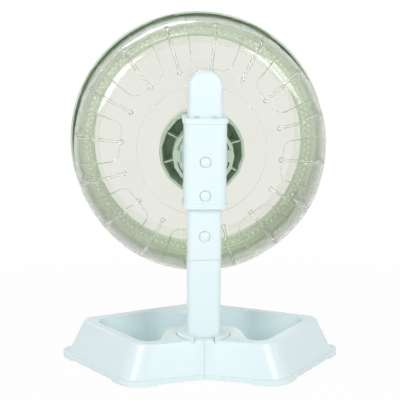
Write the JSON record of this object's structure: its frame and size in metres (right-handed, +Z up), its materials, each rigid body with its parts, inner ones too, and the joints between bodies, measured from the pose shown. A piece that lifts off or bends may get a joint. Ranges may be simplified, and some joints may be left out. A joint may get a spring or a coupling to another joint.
{
  "type": "rodent exercise wheel",
  "caption": "Free-standing running wheel for small rodents: clear bowl wheel on a ball-bearing hub, carried by a height-adjustable post on a base with trays.",
  "frame": {"origin": "centre of the object's own box at floor level, under the gap between the post and the wheel", "axes": "+X across the stand to the left half seen from the front, +Y to the rear where the post and buttons are, +Z up"},
  "size_m": [0.2674, 0.1858, 0.3305],
  "materials": {
    "ice_blue_plastic": "smooth moulded gloss, pale ice blue",
    "sage_green_plastic": "smooth moulded gloss, sage green",
    "clear_plastic": "clear moulded plastic with a faint warm tint",
    "clip_plastic": "natural white spring plastic",
    "cage_plastic": "natural nylon",
    "plated_steel": "zinc plated",
    "ground_steel": "ground and polished",
    "pad_rubber": "soft grey rubber"
  },
  "bodies": {
    "stand": {"base_left": "ice_blue_plastic", "base_right": "ice_blue_plastic", "foot_pads": "pad_rubber", "lower_post": "ice_blue_plastic", "clamp_plate": "plated_steel", "clamp_screws": "plated_steel", "upper_post": "ice_blue_plastic", "upper_height_clip": "clip_plastic", "lower_height_clip": "clip_plastic", "post_lock_clip": "clip_plastic"},
    "carriage": {"carriage": "ice_blue_plastic", "bayonet_plug": "ice_blue_plastic", "plug_screws": "plated_steel", "bayonet_collar": "sage_green_plastic", "axle": "ground_steel", "axle_washer": "plated_steel", "axle_screw": "plated_steel", "bearing_spacer": "ground_steel", "rear_bearing_inner": "ground_steel", "front_bearing_inner": "ground_steel"},
    "wheel": {"hub_cup": "sage_green_plastic", "hub_cover": "sage_green_plastic", "hub_cover_screws": "plated_steel", "hub_cap": "sage_green_plastic", "bearing_circlip": "plated_steel", "rear_bearing_outer": "ground_steel", "front_bearing_outer": "ground_steel", "rear_bearing_shields": "plated_steel", "front_bearing_shields": "plated_steel", "wheel_bowl": "clear_plastic", "front_ring": "sage_green_plastic"},
    "rear_balls": {"rear_bearing_balls": "ground_steel", "rear_bearing_cage": "cage_plastic"},
    "front_balls": {"front_bearing_balls": "ground_steel", "front_bearing_cage": "cage_plastic"},
    "upper_button": {"upper_height_button": "ice_blue_plastic"},
    "lower_button": {"lower_height_button": "ice_blue_plastic"},
    "post_button": {"post_button": "ice_blue_plastic"}
  },
  "joints": [
    {"name": "carriage_height", "type": "slide", "parent": "stand", "child": "carriage", "axis": [0, 0, 1], "range_m": [0, 0.0306], "deforming": ["upper_height_clip", "lower_height_clip"]},
    {"name": "wheel_spin", "type": "hinge", "parent": "carriage", "child": "wheel", "pos_m": [0, -0.02859, 0.2005], "axis": [0, 1, 0], "continuous": true},
    {"name": "rear_cage_spin", "type": "hinge", "parent": "carriage", "child": "rear_balls", "pos_m": [0, -0.01009, 0.2005], "axis": [0, 1, 0], "continuous": true},
    {"name": "front_cage_spin", "type": "hinge", "parent": "carriage", "child": "front_balls", "pos_m": [0, -0.02309, 0.2005], "axis": [0, 1, 0], "continuous": true},
    {"name": "upper_height_button_press", "type": "slide", "parent": "carriage", "child": "upper_button", "axis": [0, -1, 0], "range_m": [0, 0.0016], "stiffness_N_per_m": 900, "springref_m": -0.0006, "deforming": ["upper_height_clip"]},
    {"name": "lower_height_button_press", "type": "slide", "parent": "carriage", "child": "lower_button", "axis": [0, -1, 0], "range_m": [0, 0.0016], "stiffness_N_per_m": 900, "springref_m": -0.0006, "deforming": ["lower_height_clip"]},
    {"name": "post_button_press", "type": "slide", "parent": "stand", "child": "post_button", "axis": [0, -1, 0], "range_m": [0, 0.0016], "stiffness_N_per_m": 900, "springref_m": -0.0006, "deforming": ["post_lock_clip"]}
  ],
  "couplings": [
    {"joint": "rear_cage_spin", "follows": "wheel_spin", "ratio": 0.63},
    {"joint": "front_cage_spin", "follows": "wheel_spin", "ratio": 0.63}
  ]
}
